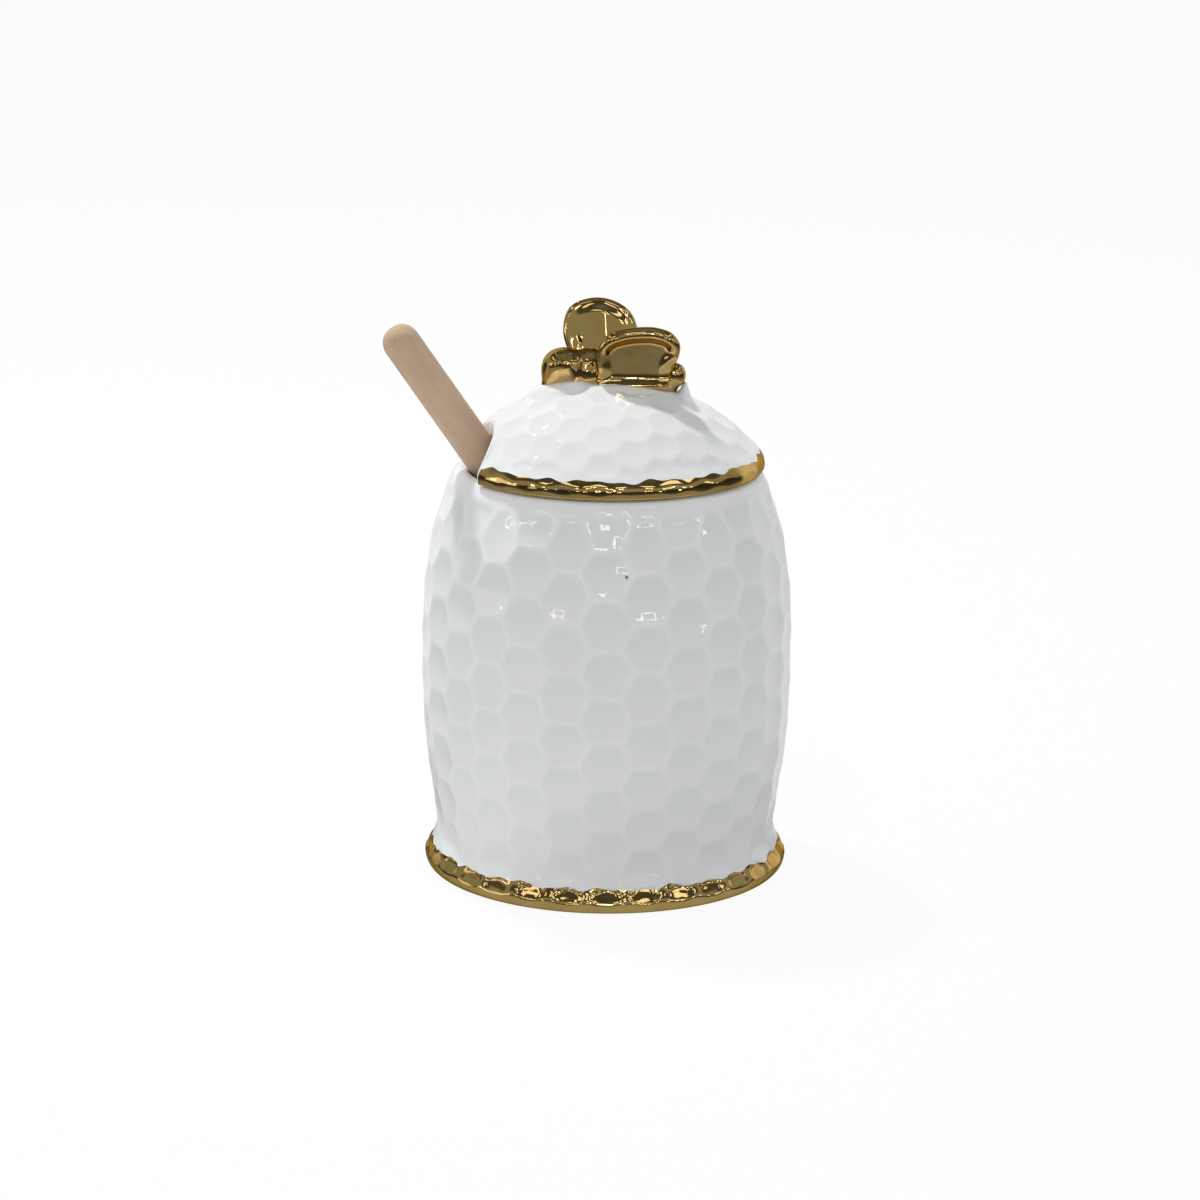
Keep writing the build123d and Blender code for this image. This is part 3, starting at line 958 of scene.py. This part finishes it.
# %% Dent the rim
dents, dent_depth, dent_z = 27, 0.42, 112.6
dent_turn = turn / (2 * pi) * dents
dent = np.cos(pi * (dent_turn - np.round(dent_turn))) ** 2 * (0.75 + 0.35 * wobble(turn, (5, 9), 2.2))
dent *= np.exp(-((points[:, 2] - dent_z) / 1.3) ** 2) * (1 - notched) * on_edge
points[:, :2] -= toward_edge * (dent_depth * dent)[:, None]
set_points(lid, points)
note_bowl_shade(lid, shade_share)
print(dents, "dents in the rim, down to", dent_depth, "mm")

# %% Cut the lid at the gilding
gold_last = first_seat + 1
rings = face_mean(lid, place.astype(float))
in_rim = (rings > last_dome) & (rings < gold_last) & (face_mean(lid, notched) < 0.5)
rim_core = (40.2, 112.2)
rim_mesh = as_mesh("lid_rim_skin", part_of(lid, in_rim, rim_core))
dome_mesh = as_mesh("lid_dome_skin", part_of(lid, ~in_rim, rim_core))
add_piece("lid_dome_dressed", dome_mesh, glaze, "lid", "lid_dome")
add_piece("lid_gilded_rim", rim_mesh, gold, "lid", "lid_rim")

# %% [markdown]
# ## The bee's body
#
# The bee is one small casting: a blunt head, a round thorax and a tapering abdomen, softened by glaze
# and lustre. Metaballs could model it, but they swell where they meet. Stretched balls keep their
# sizes. A voxel remesh joins them into one skin, and smoothing turns the creases between them into the
# soft fillets that a glaze leaves. Fine bumps on the back stand for its fur, and shallow grooves for
# the bands of the abdomen.

# %% Helpers for soft masses
def add_ball(bm, centre, size, boxy=1.0):
    """An ellipsoid from its centre and half sizes; boxy below 1 squares it off."""
    ball = bmesh.ops.create_icosphere(bm, subdivisions=4, radius=1.0)
    for vert in ball["verts"]:
        squared = [(abs(v) ** boxy) * (1 if v > 0 else -1) for v in vert.co]
        vert.co = [c + h * v for c, h, v in zip(centre, size, squared)]


def joined(name, bm, voxel, rounds):
    """One smooth skin from overlapping masses."""
    mesh = bpy.data.meshes.new(name)
    bm.to_mesh(mesh)
    bm.free()
    rough = bpy.data.objects.new(name, mesh)
    bpy.context.scene.collection.objects.link(rough)
    remesh = rough.modifiers.new("join", "REMESH")
    remesh.mode = "VOXEL"
    remesh.voxel_size = voxel
    relax = rough.modifiers.new("relax", "SMOOTH")
    relax.iterations = rounds
    relax.factor = 0.5
    subdivide = rough.modifiers.new("subdivide", "SUBSURF")
    subdivide.levels = 1
    subdivide.render_levels = 1
    ready = rough.evaluated_get(bpy.context.evaluated_depsgraph_get())
    skin = bpy.data.meshes.new_from_object(ready)
    bpy.data.objects.remove(rough)
    skin.name = name
    for polygon in skin.polygons:
        polygon.use_smooth = True
    return skin


print("helpers for soft masses ready")

# %% Masses of the body
bee_z = dome_z + dome_r + 1.3
masses = {
    "brow": ((-11.6, 0.0, 1.3), (6.5, 6.8, 6.2), 0.86),
    "chin": ((-13.0, 0.0, -2.6), (5.0, 4.8, 4.0), 0.8),
    "thorax": ((-5.2, 0.4, 1.0), (6.2, 5.8, 6.4), 1.0),
    "abdomen": ((6.0, 0.6, -0.6), (8.6, 4.6, 5.8), 1.0),
    "tail": ((13.4, -0.2, -1.2), (5.6, 4.6, 4.7), 1.0),
    "tail_knob": ((17.5, -2.0, 0.8), (3.1, 3.2, 3.4), 1.0)}
bm = bmesh.new()
for (x, y, rise), size, boxy in masses.values():
    add_ball(bm, (x, y, bee_z + rise), size, boxy)
body_skin = joined("bee_body_skin", bm, 0.4, 14)
print("bee's body:", ", ".join(masses), "in one skin of", len(body_skin.vertices), "points")

# %% Fur, bands and a slim chin
points = get_points(body_skin)
normals = np.empty(len(points) * 3)
body_skin.vertices.foreach_get("normal", normals)
normals = normals.reshape(-1, 3)
fur_depth, stripe_depth, stripe_step = 0.11, 0.10, 3.1
fur = np.array([noise.noise(Vector(p) * 1.1) for p in points])
furry = blend(points[:, 2], bee_z + 1.0, bee_z + 4.0)
furry = furry * (1 - blend(points[:, 0], 4.0, 7.0)) * blend(points[:, 0], -15.0, -11.0)
stripe = np.exp(-((np.mod(points[:, 0] - 9.6, stripe_step) - stripe_step / 2) / 0.5) ** 2)
stripe = stripe * blend(points[:, 0], 8.6, 9.8)
points += normals * (fur_depth * fur * furry - stripe_depth * stripe)[:, None]
under_head = blend(bee_z + 5.8 - points[:, 2], 0.0, 7.5) * blend(-points[:, 0], 8.8, 11.0)
chin_pinch, sunk = 0.30, 1.0
points[:, 1] *= 1.0 - chin_pinch * under_head
lowest = dome_z + np.sqrt(np.maximum(dome_r**2 - points[:, 0] ** 2 - points[:, 1] ** 2, 1)) - sunk
points[:, 2] = np.maximum(points[:, 2], lowest)
set_points(body_skin, points)
add_piece("bee_body_cast", body_skin, gold, "lid", "bee_body")

# %% [markdown]
# ## The wings
#
# Each wing is a thick leaf with a rolled edge. The front one is dished, and its dish runs out at a
# ledge just above the lid. The back one is a soft pillow with a fold down its middle and a thumb's dent
# low on one side. A leaf starts as a ball, because a ball already has the rings that it needs: its
# equator becomes the leaf's edge, and the rings above and below it become the rolled edge and the two
# faces. Moving the rings is sculpting by numbers, and each number is one that a modeller would measure:
# how thick, how deep, how far from the edge.

# %% Helpers for a leaf
def closed_loop(outline):
    """Evenly spaced points round a closed outline of (x, up) marks."""
    marks = outline[-2:] + outline + outline[:2]
    loop = np.array(smooth_line(marks, 0.2))
    half = len(loop) // 2
    start = int(np.argmin(np.hypot(*(loop[:half] - outline[0]).T)))
    stop = half + int(np.argmin(np.hypot(*(loop[half:] - outline[0]).T)))
    return loop[start:stop + 1]


def face_outwards(mesh):
    """Turn every face of a closed mesh outwards."""
    bm = bmesh.new()
    bm.from_mesh(mesh)
    bmesh.ops.recalc_face_normals(bm, faces=bm.faces)
    bm.to_mesh(mesh)
    bm.free()


print("a unit square has", len(closed_loop([(0, 0), (1, 0), (1, 1), (0, 1)])), "points round it")


# %% Leaf
def leaf(name, outline, side, edge_r, face_w, back_w, tilt, ledge=0.0, crease=0.0, dent=0.0, cup=0.0):
    """A wing from its outline of (x, up) marks, on side -1 (front) or 1 (back).

    edge_r holds the radius of the rolled edge at the sides and at the top; face_w and back_w say
    how far the outer and inner faces lie outwards from the middle of the leaf. The leaf leans
    outwards by tilt degrees. A ledge along its foot, the slope of its fold, the depth of its dent
    and the bow of its length are there only where they are given.
    """
    around, rings = 128, 64
    loop = closed_loop(outline)
    middle = loop[:-1].mean(axis=0)
    spots = np.linspace(0, len(loop) - 1, around, endpoint=False)
    rim_x = np.interp(spots, range(len(loop)), loop[:, 0])
    rim_v = np.interp(spots, range(len(loop)), loop[:, 1])
    bm = bmesh.new()
    bmesh.ops.create_uvsphere(bm, u_segments=around, v_segments=rings, radius=1.0)
    mesh = as_mesh(name, bm)
    p = get_points(mesh)
    spot = np.round(np.arctan2(p[:, 1], p[:, 0]) / (2 * pi) * around).astype(int) % around
    lift = np.arcsin(np.clip(p[:, 2], -1, 1)) / (pi / 2)
    edge_x, edge_v = rim_x[spot], rim_v[spot]
    span = np.hypot(edge_x - middle[0], edge_v - middle[1])
    tall = max(v for x, v in outline)
    rolled = edge_r[0] + (edge_r[1] - edge_r[0]) * blend(edge_v, 0.55 * tall, 0.92 * tall)
    # The rings of the first third turn round the rolled edge, and the others cover the face.
    along = abs(lift) * 3.0
    turn = np.minimum(along, 1) * pi / 2
    inset = np.where(along < 1, rolled * (1 - np.cos(turn)), rolled + (along - 1) / 2 * (span - rolled))
    share = 1 - inset / span
    x = middle[0] + (edge_x - middle[0]) * share
    v = middle[1] + (edge_v - middle[1]) * share
    marked = loop[::3]
    gap = np.min(np.hypot(x[:, None] - marked[None, :, 0], v[:, None] - marked[None, :, 1]), axis=1)
    deep = blend(gap, rolled * 0.9, rolled + 2.8)
    low_down = 1 - blend(v - 0.35 * np.maximum(x - middle[0], 0), 0.06 * tall, 0.34 * tall)
    bulge = rolled * np.sin(turn)
    outer_face = bulge * (1 - deep) + face_w * deep
    if ledge:
        outer_face = outer_face * (1 - low_down) + face_w * low_down
        outer_face += ledge * np.exp(-((v - 0.3) / 1.3) ** 2)
    fold_reach, fold_x, fold_lean, fold_soft = 11.0, -0.1, 0.065, 0.12
    fold = crease * (fold_reach - np.sqrt((x - fold_x + fold_lean * v) ** 2 + fold_soft))
    thumb_x, thumb_v = -8.4, 8.6
    fold -= dent * np.exp(-((x - thumb_x) / 1.5) ** 2 - ((v - thumb_v) / 2.5) ** 2)
    inner_face = -bulge * (1 - deep) + (back_w - fold) * deep
    w = np.where(lift > 0, outer_face, inner_face) + cup * (x - middle[0]) ** 2
    tilt = radians(tilt)
    root_y, root_z = 5.0, dome_z + dome_r - 0.6
    y = root_y + v * sin(tilt) + w * cos(tilt)
    z = root_z + v * cos(tilt) - w * sin(tilt)
    set_points(mesh, np.stack([x, y * side, z], axis=-1))
    face_outwards(mesh)
    print(f"{name}: {np.ptp(x):.1f} mm long and {tall:.1f} mm high")
    return mesh


# %% Both wings
near_marks = [(-2.4, -0.6), (-3.0, 4.2), (-3.2, 7.9), (-2.7, 11.2), (-0.7, 14.1), (3.4, 15.8),
              (8.0, 16.4), (13.0, 16.2), (16.8, 14.7), (18.7, 11.9), (18.6, 9.4), (17.8, 7.0),
              (16.8, 4.8), (15.9, 2.2), (14.6, -0.6), (7.0, -1.0), (1.4, -0.9)]
far_marks = [(-7.0, 0.0), (-10.6, 6.5), (-12.4, 13.6), (-10.6, 19.4), (-5.6, 21.8), (0.6, 21.4),
             (5.6, 18.2), (7.7, 12.3), (6.2, 5.4), (2.4, 0.0), (-2.6, -1.0)]
near_wing = leaf("near_leaf", near_marks, -1, (1.2, 2.15), -0.7, -1.9, tilt=6.0, ledge=1.6, cup=0.004)
far_wing = leaf("far_leaf", far_marks, 1, (1.4, 1.4), -0.3, -1.4, tilt=18.0, crease=0.09, dent=0.6)
add_piece("bee_wing_front", near_wing, gold, "lid", "bee_left_wing")
add_piece("bee_wing_back", far_wing, gold, "lid", "bee_right_wing")

# %% [markdown]
# ## The dipper
#
# The dipper is turned from beech: a round-ended handle, and a head with grooves that hold the honey.
# Both are spun upright and then laid along the direction in which the frame's dipper joint slides.
# Beech shows short dark flecks along its grain, so its noises are stretched along the dipper's own
# line.

# %% Place of the dipper
slide = next(joint for joint in frame["joints"] if joint["name"] == "dipper_draw")
dipper_up = Vector(slide["axis"]).normalized()
handle_low, handle_high = corners("dipper_handle")
handle_r = 5.0
dipper_length = 171.3
tip_r = 7.0
end_ball = Vector((handle_low.x + handle_r, handle_low.y + handle_r, handle_high.z - handle_r))
tip_ball = end_ball - dipper_up * (dipper_length - tip_r - handle_r)
side_on = Vector((0, 1, 0)).cross(dipper_up).normalized()
dipper_frame = Matrix((side_on, dipper_up.cross(side_on), dipper_up)).transposed().to_4x4()
dipper_frame.translation = tip_ball
print("dipper leans", round(90 - 180 / pi * float(np.arcsin(dipper_up.z)), 1), "degrees")

# %% Wood
wood, shade = finish("beech")
into_dipper = dipper_frame.inverted()
turn_in = into_dipper.to_euler("XYZ")
shift_in = into_dipper.translation * MM
place = shade.node("Mapping", {"vector_type": "POINT"}, {
    "Vector": shade.node("TexCoord", out="Object"), "Location": shift_in, "Rotation": turn_in})
along_grain, along_fleck = (1.0, 1.0, 0.06), (1.0, 1.0, 0.22)
long_place = shade.node("Mapping", {"vector_type": "POINT"}, {"Vector": place, "Scale": along_grain})
fleck_place = shade.node("Mapping", {"vector_type": "POINT"}, {"Vector": place, "Scale": along_fleck})
cloud = shade.noise(place, 60.0, 3.0)
grain = shade.noise(long_place, 900.0, 5.0, 0.65)
fleck = shade.noise(fleck_place, 2600.0, 2.0)
base = shade.mix(shade.step(cloud, 0.3, 0.7), (0.575, 0.408, 0.272, 1), (0.670, 0.487, 0.335, 1))
streaked = shade.mix(shade.step(grain, 0.35, 0.72) * 0.30, base, (0.44, 0.305, 0.190, 1))
tone = shade.mix(shade.step(fleck, 0.62, 0.72) * 0.25, streaked, (0.30, 0.20, 0.13, 1))
relief = grain * 0.5 + fleck * 0.35
fibre = shade.node("Bump", {}, {"Strength": 0.25, "Distance": 0.0003, "Height": relief})
rough = shade.step(grain, 0.2, 0.8) * 0.15 + 0.62
skin = shade.node("BsdfPrincipled", {}, {
    "Base Color": tone, "Roughness": rough, "IOR": 1.45, "Normal": fibre})
shade.node("OutputMaterial", {}, {"Surface": skin})
print("wood:", len(shade.tree.nodes), "nodes")

# %% Turn the head
rings, ring_t, groove_t, core_r = 6, 2.6, 2.0, 7.6
ring_r, end_ring_r = 13.0, 11.7
bore_r, bore_deep = 3.8, 18.0
head_line = [(0.0, -tip_r)] + [(tip_r * sin(a), -tip_r * cos(a)) for a in np.linspace(0.2, 1.25, 8)]
z = tip_r * 0.55
for ring in range(rings):
    r = ring_r if 0 < ring < rings - 1 else end_ring_r
    head_line += [(core_r, z), (r - 0.6, z), (r - 0.15, z + 0.2), (r, z + 0.65), (r, z + ring_t - 0.65),
                  (r - 0.15, z + ring_t - 0.2), (r - 0.6, z + ring_t), (core_r, z + ring_t)]
    z += ring_t + groove_t
head_top = z - groove_t + 4.0
head_line += [(core_r - 0.1, head_top - 0.2), (core_r - 0.4, head_top), (handle_r, head_top),
              (bore_r, head_top), (bore_r, head_top - bore_deep), (0.0, head_top - bore_deep)]
turned_steps = 96
bm = lathe(head_line, turned_steps)
head_mesh = as_mesh("dipper_head_turned", bm)
head_mesh.transform(dipper_frame)
add_piece("dipper_head_turned", head_mesh, wood, "dipper", "dipper_head")

# %% Turn the handle
end_z = dipper_length - tip_r - handle_r
tenon_r, tenon_low = bore_r - 0.1, head_top - bore_deep + 0.1
stick = even_line([Vector((handle_r, head_top)), Vector((handle_r, end_z - 0.6))], 2.5)
end_round = [(handle_r * cos(a) ** 0.8, end_z + handle_r * sin(a))
             for a in np.linspace(0.0, pi / 2, 14)[:-1]]
handle_line = ([(0.0, tenon_low), (tenon_r, tenon_low), (tenon_r, head_top)] + stick + end_round
               + [(0.0, end_z + handle_r)])
bm = lathe(handle_line, turned_steps)
handle_mesh = as_mesh("dipper_handle_turned", bm)
handle_mesh.transform(dipper_frame)
add_piece("dipper_handle_turned", handle_mesh, wood, "dipper", "dipper_handle")
